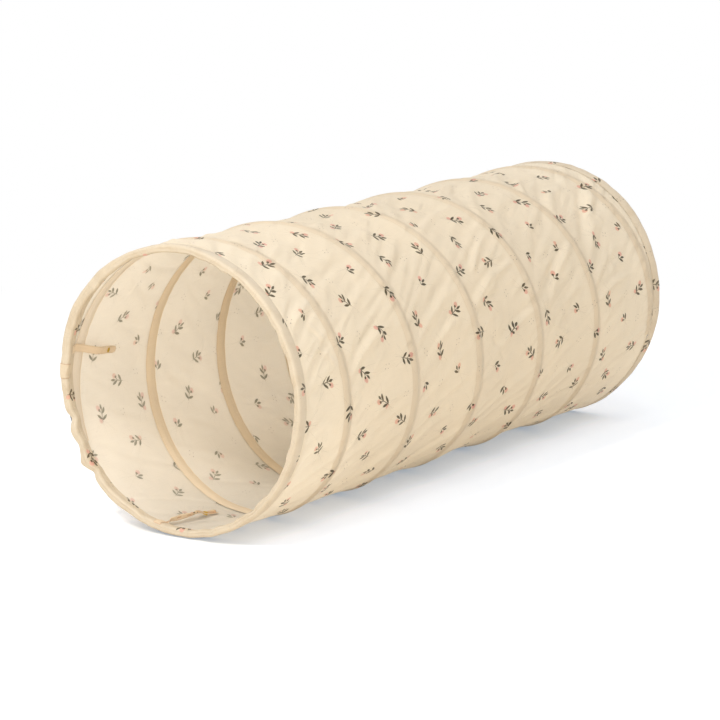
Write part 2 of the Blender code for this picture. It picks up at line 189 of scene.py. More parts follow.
class Waves:
    """Smooth random waves on the unrolled tube, the same on both sides of its join."""

    def __init__(self, around, length, seed):
        self.around = around
        self.length = length
        rows = int(LENGTH / length) + 4
        self.heights = np.random.default_rng(seed).uniform(-1, 1, (rows, around))

    def __call__(self, angle, along):
        x = (angle / (2 * math.pi)) % 1 * self.around
        y = along / self.length + 1
        column, row = np.floor(x).astype(int), np.floor(y).astype(int)
        tx, ty = x - column, y - row
        tx, ty = tx * tx * (3 - 2 * tx), ty * ty * (3 - 2 * ty)
        row = np.clip(row, 0, self.heights.shape[0] - 2)
        left, right = column % self.around, (column + 1) % self.around
        near = self.heights[row, left] * (1 - tx) + self.heights[row, right] * tx
        far = self.heights[row + 1, left] * (1 - tx) + self.heights[row + 1, right] * tx
        return near * (1 - ty) + far * ty


SOFT_WAVES = Waves(26, 0.075, 3)
SMALL_WAVES = Waves(64, 0.028, 4)


def make_folds():
    """Pulls in the cloth: (angle, along, slant, length, width, height, how one-sided)."""
    folds = []
    for panel in range(-1, PANEL_COUNT + 1):
        step = panel * FACETS
        while step < (panel + 1) * FACETS:
            # long soft ones, which run slantwise from one turn of the wire towards the next
            front, back = panel_edges(step)
            room = back - front
            step += rng.uniform(0.75, 1.7)
            share = rng.uniform(0.22, 0.78)
            slant = math.radians(rng.normal(27, 6))
            length = rng.uniform(0.045, 0.105)
            width = rng.uniform(0.0060, 0.0110)
            height = rng.uniform(0.0026, 0.0056) * rng.choice([1, 1, -0.8])
            if room > 0.05:
                place = front + share * room
                folds.append((angle_at(step), place, slant, length, width, height, 0.0))
        step = panel * FACETS
        while step < (panel + 1) * FACETS:
            # short crisp ones, some the other way
            front, back = panel_edges(step)
            step += rng.uniform(1.0, 3.2)
            slant = math.radians(rng.choice([rng.normal(30, 9), -rng.normal(50, 12)], p=[0.6, 0.4]))
            length, width = rng.uniform(0.016, 0.042), rng.uniform(0.0032, 0.0046)
            height = rng.uniform(0.0010, 0.0021) * rng.choice([1, -1])
            near = rng.uniform(0.1, 0.9)
            if back - front > 0.08:
                place = front + near * (back - front)
                folds.append((angle_at(step), place, slant, length, width, height, 0.8))
    # the crossing creases beside the front hem, on the upper right
    for turn, along, slant, length in (
        (22, 0.060, 30, 0.034), (15, 0.075, 34, 0.040), (9, 0.080, 28, 0.030),
        (17, 0.095, -48, 0.026), (27, 0.085, -55, 0.022), (3, 0.070, 33, 0.030),
        (33, 0.050, 24, 0.030),
    ):
        folds.append((math.radians(turn), along, math.radians(slant), length, 0.0040, 0.0028, 0.9))
    return folds


FOLDS = make_folds()

# The crease of the cloth where it lies on the floor behind the front hem, as (along, angle)
CREASE = [(0.025, 236), (0.079, 241), (0.142, 247), (0.190, 255), (0.226, 259), (0.301, 261.5)]
CREASE_HEIGHT = 0.0011
CREASE_WIDTH = 0.0030
CREASE_FADE = 0.020


def crease(angle, along):
    places, turns = np.array(CREASE).T
    line = np.interp(along, places, np.radians(turns))
    off = wrapped(angle - line) * OUTER_RADIUS
    ends = np.clip((along - places[0]) / 0.03, 0, 1) * np.clip((places[-1] - along) / 0.06, 0, 1)
    return CREASE_HEIGHT * ends * np.tanh(off / CREASE_WIDTH) * np.exp(-np.abs(off) / CREASE_FADE)


def fold_height(angle, along):
    total = np.zeros(np.broadcast(angle, along).shape)
    for fold_angle, fold_along, slant, length, width, height, crisp in FOLDS:
        y = wrapped(angle - fold_angle) * OUTER_RADIUS
        rows = np.abs(y[:, 0]) < 1.4 * length + 4 * width
        y, x = y[rows], along[rows] - fold_along
        run = x * math.cos(slant) + y * math.sin(slant)
        off = y * math.cos(slant) - x * math.sin(slant)
        off = off + 0.12 * run * run / length
        # a crisp one is steep on one side and runs out softly on the other
        wide = width * np.where(off > 0, 1 + 1.6 * crisp, 1 - 0.45 * crisp)
        ridge = bump(off, wide) - 0.45 * (1 - crisp) * bump(off - 2.1 * width, width)
        total[rows] += height * ridge * np.exp(-((run / length) ** 4))
    return total


def side_share(angle):
    """Folds are strongest on the upper right, where the tunnel's twist pulls the cloth."""
    return 0.66 + 0.34 * np.cos(angle - math.radians(45))


def hem_groove(along):
    """The stitched groove where the cloth goes into a hem."""
    end = np.minimum(along, LENGTH - along)
    return 0.0011 * bump(end - HEM_WIDTH - 0.001, 0.0028)


def out_of_round(angle, along):
    """How far wire and cloth stand out, fuller at the upper left and where the tunnel rests."""
    upper = bump(wrapped(angle - math.radians(110)), 0.34) * bump(along - 0.20, 0.11)
    lower = bump(wrapped(angle + math.radians(68)), 0.30) * np.clip(along / 0.15 - 0.4, 0, 1)
    rear = np.clip((along - 0.8) / 0.4, 0, 1)
    return 0.0040 * upper + (0.0032 + 0.0020 * rear) * lower


def cloth_radius(step, along, front, back):
    """The outside of the cloth between two turns of the wire."""
    angle = angle_at(step)
    radius = OUTER_RADIUS - 4 * SAG * (along - front) * (back - along) / PITCH**2
    edge = np.minimum(along - front, back - along)
    free = 1 - bump(edge, 0.017)
    start = 1 - bump(wrapped(angle - START_ANGLE), 0.05)
    moved = fold_height(angle, along) * side_share(angle)
    moved = moved + 0.0012 * SOFT_WAVES(angle, along) + 0.00040 * SMALL_WAVES(angle, along)
    radius = radius + free * start * moved + crease(angle, along) * (1 - bump(edge, 0.006))
    for wire in (spiral_along(step), spiral_along(step + FACETS)):
        off = np.abs(along - wire)
        shown = ((wire > HEM_WIDTH - 1e-6) & (wire < LENGTH - HEM_WIDTH + 1e-6)) * 1.0
        radius = radius - shown * STITCH_DIP * bump(off - STITCH_ROW, STITCH_DIP_WIDTH)
        radius = radius + shown * RIDGE * bump(off, RIDGE_WIDTH)
    top = bump(wrapped(angle - math.pi / 2), 0.26) * bump(along - 0.045, 0.035)
    return radius - RIDGE - hem_groove(along) + 0.0026 * top + out_of_round(angle, along)


# Meshes

def link(name, data):
    """A new object in the scene."""
    obj = bpy.data.objects.new(name, data)
    bpy.context.scene.collection.objects.link(obj)
    return obj


def new_object(name, points, faces):
    mesh = bpy.data.meshes.new(name)
    mesh.from_pydata(points.reshape(-1, 3).tolist(), [], faces)
    mesh.shade_smooth()
    return link(name, mesh)


def loft(name, rings):
    """A closed body through rings of points, with a flat face at each end."""
    rings = np.array(rings, float)
    count, sides = rings.shape[:2]
    index = np.arange(count * sides).reshape(count, sides)
    beside = np.roll(index, -1, axis=1)
    faces = np.stack([index[:-1], index[1:], beside[1:], beside[:-1]], axis=-1)
    ends = [index[0].tolist(), index[-1][::-1].tolist()]
    return new_object(name, rings, faces.reshape(-1, 4).tolist() + ends)


def quads(index):
    """The faces between the rows and columns of a grid of numbered points."""
    corners = index[:-1, :-1], index[:-1, 1:], index[1:, 1:], index[1:, :-1]
    return np.stack(corners, axis=-1).reshape(-1, 4)


def map_corners(obj, corners, cloth, seam):
    """Map a piece's corners: to places on the flat cloth and to those beside its seam."""
    for layer, places in (("Cloth", cloth), ("Seam", seam)):
        flat = places.reshape(-1, 2)[corners]
        obj.data.uv_layers.new(name=layer).data.foreach_set("uv", flat.ravel())


def mesh_from(name, points, cloth, seam, closed=False, flip=False):
    """A surface through rows of points, with its two maps in metres."""
    rows, wide = points.shape[:2]
    index = np.arange(rows * wide).reshape(rows, wide)
    if closed:
        index = np.concatenate([index, index[:1]])
        cloth = np.concatenate([cloth, cloth[:1] + [AROUND, 0]])
        seam = np.concatenate([seam, seam[:1] + [AROUND, 0]])
    faces, corners = quads(index), quads(np.arange(index.size).reshape(index.shape))
    if flip:
        faces, corners = faces[:, ::-1], corners[:, ::-1]
    obj = new_object(name, points, faces.tolist())
    map_corners(obj, corners.reshape(-1), cloth, seam)
    sharpen_open_edges(obj.data)
    return obj


def sharpen_open_edges(mesh):
    """Keep the shading of a cloth's face free of that of its cut edge."""
    edit = bmesh.new()
    edit.from_mesh(mesh)
    for edge in edit.edges:
        edge.smooth = not edge.is_boundary
    edit.to_mesh(mesh)
    edit.free()


def dress(obj, material, node=None):
    """Give a piece its material and hide the CAD node it stands for, if it does."""
    obj.data.materials.append(material)
    if node:
        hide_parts(node)


def thicken(obj, thickness, inner=None, offset=-1):
    """Give a surface its thickness, with another material on its inside if there is one."""
    modifier = obj.modifiers.new("cloth", "SOLIDIFY")
    modifier.thickness = thickness
    modifier.offset = offset
    if inner:
        obj.data.materials.append(inner)
        modifier.material_offset = 1


def fold_up(obj, panel):
    """Let a soft piece ride on its coil, with a mesh of its own."""
    body, joint, along = f"coil_{panel}", f"collapse_{panel}", spiral_along(panel * FACETS)
    if panel == 0:
        body, joint, along = "front_end", "collapse_1", HEM_WIDTH
    elif panel > PANEL_COUNT:
        body, joint, along = "rear_end", "collapse_6", LENGTH - HEM_WIDTH
    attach(obj, body)
    anchor = (0, along - LENGTH / 2, OUTER_RADIUS)
    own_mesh(obj)


def strip_steps(first, last):
    return np.linspace(first, last, round((last - first) * TURN_STEPS) + 1)


def add_panel(panel, name, first, last):
    """The cloth of one turn of the wire, or of the part of a turn beside a hem."""
    step = strip_steps(first, last)[:, None]
    front, back = panel_edges(step)
    # closer together near the two edges, where the cloth bends over the wire
    share = np.linspace(0, 1, ACROSS + 1)[None, :]
    along = front + (back - front) * (share - 0.09 * np.sin(2 * math.pi * share))
    radius = cloth_radius(step, along, front, back)
    points = at(angle_at(step), radius, along)
    turn = -angle_at(step) * OUTER_RADIUS
    off = [along - spiral_along(wire_step) for wire_step in (step, step + FACETS)]
    nearest = np.where(np.abs(off[0]) < np.abs(off[1]), off[0], off[1])
    obj = mesh_from(f"{name}_drawn", points, pairs(turn, along), pairs(turn, nearest), flip=True)
    dress(obj, CLOTH_OUTSIDE, name)
    thicken(obj, CLOTH, CLOTH_INSIDE)
    fold_up(obj, panel)


def tape_radius(step, off):
    """The inside of a casing tape, which bulges over the wire."""
    edge = OUTER_RADIUS - 4 * SAG * STITCH_ROW / PITCH - RIDGE - CLOTH
    over_wire = WIRE_RADIUS - WIRE / 2 - 0.0009
    flat = edge - 0.0011 - 0.0003 * np.abs(off) / TAPE_HALF_WIDTH
    bulge = flat + (over_wire - flat) * bump(off, 0.0062)
    dip = 0.0005 * bump(np.abs(off) - STITCH_ROW, 0.0013)
    wave = 0.0003 * np.sin(step * 7.3 + 4 * np.sin(step * 1.7)) * np.abs(off) / TAPE_HALF_WIDTH
    return bulge + dip + wave


def add_tape(panel, first, last):
    name = f"casing_tape_{panel}"
    step = strip_steps(first, last)[:, None]
    off = TAPE_HALF_WIDTH * np.linspace(-1, 1, TAPE_ACROSS + 1)[None, :]
    low, high = HEM_WIDTH - 0.0005, LENGTH - HEM_WIDTH + 0.0005
    along = np.clip(spiral_along(step) + off, low, high)
    radius = tape_radius(step, off) + out_of_round(angle_at(step), along)
    points = at(angle_at(step), radius, along)
    turn = -angle_at(step) * OUTER_RADIUS
    obj = mesh_from(f"{name}_sewn", points, pairs(turn, along), pairs(turn, off))
    dress(obj, TAPE_CLOTH, name)
    thicken(obj, TAPE_THICKNESS, offset=1)
    fold_up(obj, panel)


# Hems

PUCKERS = Waves(92, 0.03, 8)
LONG_PUCKERS = Waves(31, 0.05, 9)
# Where a hem's roll is fuller or pressed in, as (angle in degrees, width in degrees, height)
FULLER = {
    False: [
        (153, 22, 0.0046), (128, 10, 0.0016), (90, 12, 0.0020), (216, 2.6, 0.0042),
        (236, 5, 0.0022),
    ],
    True: [(45, 34, 0.0030), (-8, 14, 0.0024), (160, 25, 0.0016)],
}
# Where the front hem is crumpled: (angle, width in degrees, into the tunnel, inwards)
CRUMPLES = [
    (197.5, 2.4, 0.0050, 0.0040), (203.0, 2.0, -0.0022, 0.0004), (209.0, 2.4, 0.0024, 0.0020),
    (215.5, 2.2, -0.0034, -0.0006), (221.5, 2.0, 0.0046, 0.0026), (228.0, 2.4, -0.0014, 0.0002),
    (187.0, 2.0, 0.0012, 0.0006), (171.0, 1.6, 0.0010, 0.0003), (140.0, 2.2, 0.0012, 0.0004),
]
# Where the front ring of the wire is pressed in: (angle, width in degrees, depth)
WIRE_PRESSED = (202, 11, 0.0022)


def wire_pressed(angle):
    turn, width, depth = WIRE_PRESSED
    return depth * bump_at(angle, turn, width)


def hem_section():
    """(along, radius, share of the puckers) round a hem from its outer edge to its sewn lip."""
    points = []
    for share in np.linspace(0, 1, COVER_POINTS):
        along = HEM_WIDTH + 0.0006 - share * 0.014
        points.append((along, OUTER_RADIUS - RIDGE * (1 - share) ** 2 - ROLL_INSET, share))
    half = ROLL_POINTS / 2
    for n in range(1, ROLL_POINTS + 1):
        turn = math.pi * n / ROLL_POINTS
        # its inner half is a little shallower
        reach = ROLL_MIDDLE if n < half else ROLL_MIDDLE - 0.0008 * (n - half) / half
        along = ROLL_MIDDLE - reach * math.sin(turn) ** 0.62
        out = HEM_ROLL_SEEN / 2 * squared(math.cos(turn), 0.8)
        points.append((along, ROLL_RADIUS + out, 1.0))
    inner = ROLL_RADIUS - HEM_ROLL_SEEN / 2
    lip = HEM_WIDTH - 0.0012
    for n in range(1, LIP_POINTS + 1):
        share = n / LIP_POINTS
        rise = (1 - math.cos(math.pi * share)) / 2
        along = ROLL_MIDDLE + share * (lip - ROLL_MIDDLE)
        points.append((along, inner + rise * (LIP_SEEN - inner), 1 - 0.5 * share))
    # its edge turns out to the cloth that it is sewn to
    for n in range(1, TURN_OUT_POINTS + 1):
        turn = math.pi / 2 * n / TURN_OUT_POINTS
        along = lip + 0.0026 * math.sin(turn)
        radius = LIP_SEEN + (CLOTH_BEHIND - LIP_SEEN) * (1 - math.cos(turn))
        points.append((along, radius, 0.5 * (1 - n / TURN_OUT_POINTS)))
    return np.array(points)


def hem_surface(angle, section, back):
    """(along, radius) of a hem at each angle, with its puckers and crumples.

    Along is counted from the hem's own end of the tunnel.
    """
    along, radius, share = (column[None, :] for column in section.T)
    wave = PUCKERS(angle + 3 * back, along * 0.6) + 0.5 * SMALL_WAVES(angle, along)
    inner = np.clip((OUTER_RADIUS - 0.002 - radius) / 0.01, 0, 1)
    moved_radius = radius + share * wave * (0.0005 + 0.0014 * inner)
    forward = 0.0010 * LONG_PUCKERS(angle + back, 0 * along + 0.1) * share
    forward = forward + 0.0011 * PUCKERS(angle + 1, radius * 0.9) * share
    moved_along = along + forward
    for turn, width, height in FULLER[back]:
        near = bump_at(angle, turn, width)
        moved_radius = moved_radius + height * near * share * (1 - inner)
    if not back:
        for turn, width, into, inwards in CRUMPLES:
            near = bump_at(angle, turn, width)
            reach = np.clip(1.25 - along / HEM_WIDTH, 0, 1)
            moved_along = moved_along + into * near * reach
            moved_radius = moved_radius - inwards * near * share * (1 - inner)
            moved_radius = moved_radius - abs(into) * 0.35 * near * share * inner
        moved_radius = moved_radius - wire_pressed(angle) * share
    moved_along = np.maximum(moved_along, -0.005)
    # its stitched row, the groove beside the wire's ring and the fold on its face
    dip = 0.0013 * bump(np.abs(along - HEM_WIDTH + HEM_STITCH), 0.0011) * inner
    groove = 0.0016 * bump(np.abs(along - 0.0112), 0.0013) * inner
    face = bump(radius - 0.2322, 0.0013) * np.clip((0.008 - along) / 0.004, 0, 1)
    moved_along = moved_along + 0.0011 * face * (1 + 0.6 * SMALL_WAVES(angle, 0 * along + 0.3))
    place = LENGTH - moved_along if back else moved_along
    return moved_along, moved_radius + dip + groove + out_of_round(angle, place)


def add_hem(name, body, back):
    section = hem_section()
    angle = np.linspace(0, 2 * math.pi, FACETS * TURN_STEPS * 2, endpoint=False)[:, None]
    moved_along, moved_radius = hem_surface(angle, section, back)
    if back:
        moved_along = LENGTH - moved_along
    points = at(angle, moved_radius, moved_along)
    walked = walk_along(section)
    across = LENGTH - HEM_WIDTH + walked if back else HEM_WIDTH - walked
    turn = angle * OUTER_RADIUS
    seam = pairs(turn, walked.max() - HEM_STITCH - walked + STITCH_ROW)
    flat = pairs(turn, across)
    obj = mesh_from(f"{name}_roll", points, flat, seam, closed=True, flip=not back)
    dress(obj, CLOTH_HEM, name)
    thicken(obj, CLOTH)
    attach(obj, body)


# Wire

def wire_point(step):
    """(along, radius) of the wire, with its closed rings in the hems before and after."""
    if step > SPIRAL_STEPS / 2:
        along, radius = wire_point(SPIRAL_STEPS - step)
        return LENGTH - along, radius
    if step >= 0:
        return spiral_along(step), WIRE_RADIUS
    if step < -HOLD_STEPS:
        return RING_INSET, RING_RADIUS
    beside = RING_INSET + PAIR_SPACING
    radius = RING_RADIUS if step < -1 else (RING_RADIUS + WIRE_RADIUS) / 2
    return max(spiral_along(step), beside), radius


def tube(name, line, radius, sides):
    """A closed tube of even thickness along a line of points."""
    line = np.array(line, float)
    tangent = np.gradient(line, axis=0)
    tangent /= np.linalg.norm(tangent, axis=1)[:, None]
    centre = np.array([0, 0, OUTER_RADIUS])
    out = (line - centre) * [1, 0, 1]
    out -= (out * tangent).sum(1)[:, None] * tangent
    out /= np.linalg.norm(out, axis=1)[:, None]
    side = np.cross(tangent, out)
    turn = np.linspace(0, 2 * math.pi, sides, endpoint=False)
    ring = np.cos(turn)[None, :, None] * out[:, None] + np.sin(turn)[None, :, None] * side[:, None]
    return loft(name, line[:, None] + radius * ring)


def add_wire():
    """The wire in three pieces: the ring in each hem stays round, and the spiral runs between them.
    """
    before = FACETS + HOLD_STEPS
    parts = [
        ("front_wire_ring", -before, 0, "front_end", None),
        ("wire_spiral", 0, SPIRAL_STEPS, "front_end", "spring_wire"),
        ("rear_wire_ring", SPIRAL_STEPS, SPIRAL_STEPS + before, "rear_end", None),
    ]
    for name, first, last, body, node in parts:
        line = []
        for step in np.arange(first, last + 0.01, 0.5):
            ends = wire_point(math.floor(step)), wire_point(math.ceil(step))
            along, radius = np.mean(ends, axis=0)
            angle = angle_at(step)
            if step < -HOLD_STEPS:
                radius -= wire_pressed(angle)
            radius += out_of_round(angle, along)
            line.append(at(angle, radius, along))
        obj = tube(name, line, WIRE / 2, WIRE_SIDES)
        dress(obj, WIRE_STEEL, node)
        if node:
            fold_up(obj, 0)
        else:
            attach(obj, body)


# Straps, patch and the rest on the hems

def strap_frame(side):
    """Where a strap is sewn on: along the strap, across it, and into the tunnel."""
    angle = facet_angle(STRAP_FACETS[side])
    slant_room = STRAP_WIDTH / 2 * math.sin(STRAP_SLANT)
    along = HEM_WIDTH + 0.0003 + STRAP / 2 + slant_room
    base = Vector(at(angle, LIP_RADIUS + 0.0005, along))
    inward = Vector((-math.cos(angle), 0, -math.sin(angle)))
    straight = Vector((0, 1, 0))
    across = inward.cross(straight)
    forward = math.cos(STRAP_SLANT) * straight - math.sin(STRAP_SLANT) * across
    return base, forward, inward.cross(forward), inward


def add_strap(side):
    """A doubled band of the printed cloth. The bottom one lies crumpled on its edge."""
    base, forward, across, inward = strap_frame(side)
    crumpled = side == "bottom"
    rings, maps = [], []
    for n in range(STRAP_STATIONS + 1):
        run = STRAP_LENGTH * n / STRAP_STATIONS
        into = STRAP_LENGTH - run
        half = STRAP_WIDTH / 2
        if into < STRAP_TIP_ROUND:
            rest = math.sqrt(max(STRAP_TIP_ROUND**2 - (STRAP_TIP_ROUND - into) ** 2, 0))
            half -= (STRAP_TIP_ROUND - rest) * 0.7
        lift = STRAP_ARCH * math.sin(math.pi * run / STRAP_LENGTH) ** 2
        calm = 1 - bump(run - SNAP_SHARE * STRAP_LENGTH, 0.012)
        calm *= min(run / 0.012, 1)
        roll, shift, cup = 0.03 * math.sin(run * 70), 0.0004 * math.sin(run * 90), 0.0
        if crumpled:
            # it lies on one edge up to the snap, and is flat there and at its tip
            flat_end = 1 / (1 + math.exp((run - 0.066) / 0.006))
            roll = calm * flat_end * (-1.05 + 0.18 * math.sin(run * 130))
            lift *= 1 - 0.55 * calm * flat_end
            shift = calm * 0.0016 * math.sin(run * 60 + 1.1)
            cup = 0.0030 * calm
        ring, flat = [], []
        for c in range(STRAP_SIDES):
            turn = 2 * math.pi * c / STRAP_SIDES
            y = half * squared(math.cos(turn), 0.55)
            z = STRAP_SEEN / 2 * squared(math.sin(turn), 0.7)
            # two stitched edges, a little thinner than the middle
            z *= 1 - 0.35 * bump(abs(y) - half + 0.0022, 0.0007)
            z += cup * (y / half) ** 2 + 0.00025 * math.sin(run * 310 + y * 500) * (0.3 + crumpled)
            y2 = y * math.cos(roll) - z * math.sin(roll) + shift
            z2 = y * math.sin(roll) + z * math.cos(roll) + lift
            ring.append(base + forward * run + across * y2 + inward * z2)
            flat.append((0.31 + run, 0.02 + y + (0 if z < 0 else 0.02)))
        rings.append(ring)
        maps.append(flat)
    name = f"{side}_closing_band"
    obj = loft(name, rings)
    cloth = np.array(maps).reshape(-1, 2)
    run, place = cloth.T
    from_middle = np.abs(np.where(place > 0.03, place % 0.02 - 0.01, place - 0.02))
    corners = [loop.vertex_index for loop in obj.data.loops]
    map_corners(obj, corners, cloth, pairs(run, from_middle + STITCH_ROW - STRAP_STITCH))
    dress(obj, CLOTH_FOLDED if crumpled else CLOTH_STRAP, f"{side}_strap")
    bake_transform(obj)


def add_strap_end(side):
    """The end of a strap that is sewn flat on the inside of the hem."""
    # over the lip and then straight to where the swinging part begins
    bridge = [(0.0226, 0.2303, 0.2), (0.0243, 0.2328, 0.0)]
    section = np.concatenate([hem_section()[STRAP_POINTS[side]], bridge])
    half = STRAP_WIDTH / 2 / LIP_SEEN
    angle = facet_angle(STRAP_FACETS[side]) + np.linspace(-half, half, 17)[:, None]
    moved_along, moved_radius = hem_surface(angle, section, False)
    walked = walk_along(section)
    edge = np.minimum(walked, (half - np.abs(angle - angle.mean())) * LIP_SEEN)
    lifted = 0.0011 + 0.0003 * np.clip(edge / 0.0015, 0, 1)
    points = at(angle, moved_radius - lifted, moved_along)
    turn = angle * OUTER_RADIUS
    seam = pairs(turn + walked, STITCH_ROW + EDGE_STITCH - edge)
    name = f"{side}_band_sewn_end"
    obj = mesh_from(name, points, pairs(walked + 0.3, turn), seam, flip=True)
    dress(obj, CLOTH_FOLDED if side == "bottom" else CLOTH_STRAP)
    thicken(obj, 0.0008)
    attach(obj, "front_end")


def add_patch():
    """The bare patch on the inside of the front hem, sewn round its edge."""
    section = hem_section()[PATCH_POINTS]
    half = PATCH_LENGTH / 2 / OUTER_RADIUS
    angle = facet_angle(PATCH_FACET) - PATCH_SHIFT + np.linspace(-half, half, 25)[:, None]
    moved_along, moved_radius = hem_surface(angle, section, False)
    walked = walk_along(section)
    edge_turn = (half - np.abs(angle - angle.mean())) * OUTER_RADIUS
    edge = np.minimum(np.minimum(walked, walked.max() - walked), edge_turn)
    out = 0.0007 + 0.0003 * np.clip(edge / 0.002, 0, 1)
    # away from the roll, which is round there
    off = np.stack([moved_along - ROLL_MIDDLE, moved_radius - ROLL_RADIUS])
    off = off / np.linalg.norm(off, axis=0)
    points = at(angle, moved_radius + out * off[1], moved_along + out * off[0])
    turn = angle * OUTER_RADIUS
    seam = pairs(turn + walked, STITCH_ROW + EDGE_STITCH - edge)
    obj = mesh_from("rim_patch", points, pairs(turn, walked), seam, flip=True)
    dress(obj, PATCH_CLOTH, "hem_patch")
    thicken(obj, PATCH_THICKNESS)
    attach(obj, "front_end")


# Shader nodes

def linear(red, green, blue):
    """A colour as Blender wants it, from the usual 0 to 255."""
    made = []
    for value in (red, green, blue):
        value /= 255
        made.append(value / 12.92 if value <= 0.04045 else ((value + 0.055) / 1.055) ** 2.4)
    return (*made, 1)


def toned(colour, *shares):
    """A colour with its channels multiplied, by one share or by one each."""
    shares = shares * 3 if len(shares) == 1 else shares
    return [min(value * share, 1) for value, share in zip(colour, shares)] + [1]


def reckoned(operation):
    return lambda first, second: first.net.math(operation, first, second)


class Number:
    """A number that a shader works out, to reckon with like any other."""

    def __init__(self, net, socket):
        self.net = net
        self.socket = socket

    __add__ = reckoned("ADD")
    __sub__ = reckoned("SUBTRACT")
    __mul__ = reckoned("MULTIPLY")
    __truediv__ = reckoned("DIVIDE")
    __gt__ = reckoned("GREATER_THAN")

    def __rsub__(self, other):
        return self.net.math("SUBTRACT", other, self)

    def __abs__(self):
        return self.net.math("ABSOLUTE", self)


class Net:
    """Short calls for building a tree of shader nodes."""

    def __init__(self, tree):
        self.tree = tree

    def put(self, target, value):
        """Link an input to what the shader works out, or set it to a plain value."""
        if isinstance(value, Number):
            value = value.socket
        if isinstance(value, bpy.types.NodeSocket):
            self.tree.links.new(value, target)
        elif value is not None:
            target.default_value = value

    def fill(self, node, inputs):
        for key, value in inputs.items() if isinstance(inputs, dict) else enumerate(inputs):
            self.put(node.inputs[key], value)

    def add(self, kind, inputs=(), **settings):
        node = self.tree.nodes.new("ShaderNode" + kind)
        for key, value in settings.items():
            setattr(node, key, value)
        self.fill(node, inputs)
        return node

    def numbers(self, node):
        return [Number(self, socket) for socket in node.outputs]

    def math(self, operation, *values):
        return self.numbers(self.add("Math", values, operation=operation))[0]

    def vector(self, operation, *values):
        return self.add("VectorMath", values, operation=operation).outputs[0]

    def split(self, value):
        return self.numbers(self.add("SeparateXYZ", [value]))

    def join(self, *values):
        return self.add("CombineXYZ", values).outputs[0]

    def turn(self, vector, angle):
        inputs = {"Vector": vector, "Angle": angle}
        return self.add("VectorRotate", inputs, rotation_type="Z_AXIS").outputs[0]

    def mix(self, share, first, second):
        inputs = {"Factor": share, 6: first, 7: second}
        return self.add("Mix", inputs, data_type="RGBA").outputs[2]

    def mix_shaders(self, share, first, second):
        return self.add("MixShader", [share, first.outputs[0], second.outputs[0]])

    def smooth(self, value, low, high):
        inputs = {"Value": value, "From Min": low, "From Max": high}
        node = self.add("MapRange", inputs, interpolation_type="SMOOTHSTEP")
        return self.numbers(node)[0]

    def noise(self, vector, scale, detail=2.0, roughness=0.5):
        inputs = {"Vector": vector, "Scale": scale, "Detail": detail, "Roughness": roughness}
        return self.numbers(self.add("TexNoise", inputs))[0]

    def bump(self, height, strength, distance, normal=None):
        inputs = {"Strength": strength, "Distance": distance, "Height": height, "Normal": normal}
        return self.add("Bump", inputs).outputs[0]

    def use(self, tree, *values):
        return self.numbers(self.add("Group", values, node_tree=tree))


def group(name, inputs, outputs):
    """An empty group: what builds it, the sockets it is given and those it fills."""
    tree = bpy.data.node_groups.new(name, "ShaderNodeTree")
    for label, kind in inputs:
        tree.interface.new_socket(label, in_out="INPUT", socket_type=kind)
    for label in outputs:
        tree.interface.new_socket(label, in_out="OUTPUT", socket_type=FLOAT)
    given = tree.nodes.new("NodeGroupInput").outputs
    return Net(tree), given, tree.nodes.new("NodeGroupOutput")


FLOAT, VECTOR = "NodeSocketFloat", "NodeSocketVector"


def petal_group():
    """A leaf or petal: 1 inside it and 0 outside. A point of 0.5 makes its ends round."""
    names = ["Turn", "Half length", "Half width", "Point"]
    inputs = [("Place", VECTOR), ("Centre", VECTOR)] + [(name, FLOAT) for name in names]
    net, given, out = group("petal", inputs, ["Mask"])
    place, centre, turn, half_long, half_wide, point = given[:6]
    x, y, _ = net.split(net.turn(net.vector("SUBTRACT", place, centre), turn))
    share = x / half_long
    room = net.math("MAXIMUM", 1.0 - share * share, 0.0)
    limit = net.math("POWER", room, point) * half_wide
    net.fill(out, [net.smooth(limit - abs(y), -0.18, 0.18)])
    return net.tree


# Leaves and buds of a sprig, in millimetres about its middle:
# (x, y, turn in degrees, half length, half width, point)
STEM = [(0.0, -2.0, 90, 12.5, 0.65, 0.6), (-2.8, 4.6, 122, 5.2, 0.55, 0.6)]
UPPER_LEAVES = [(4.8, 6.6, 52, 7.0, 2.4, 0.9), (0.8, 12.6, 84, 5.8, 2.1, 0.9)]
LOWER_LEAVES = [(-5.4, -4.2, 138, 6.8, 2.3, 0.9), (5.4, -5.8, 40, 7.0, 2.4, 0.9)]
CALYX = [(-5.2, 7.0, 100, 2.6, 2.2, 0.7)]
BUDS = [(-6.8, 11.0, 108, 5.2, 4.5, 0.5)]
SECOND_BUD = [(-4.4, -11.2, 60, 4.6, 3.9, 0.5)]
DOTS = [
    (-5.0, 3.0, 0, 1.05, 1.05, 0.5), (2.2, 5.0, 0, 0.80, 0.80, 0.5),
    (6.4, -1.2, 0, 1.00, 1.00, 0.5), (-1.6, -3.6, 0, 0.80, 0.80, 0.5),
]
CELLS_AROUND = 26
CELL = AROUND / CELLS_AROUND * 1000
SCATTER = 15.0  # how far apart chance moves the middles of cells, in millimetres


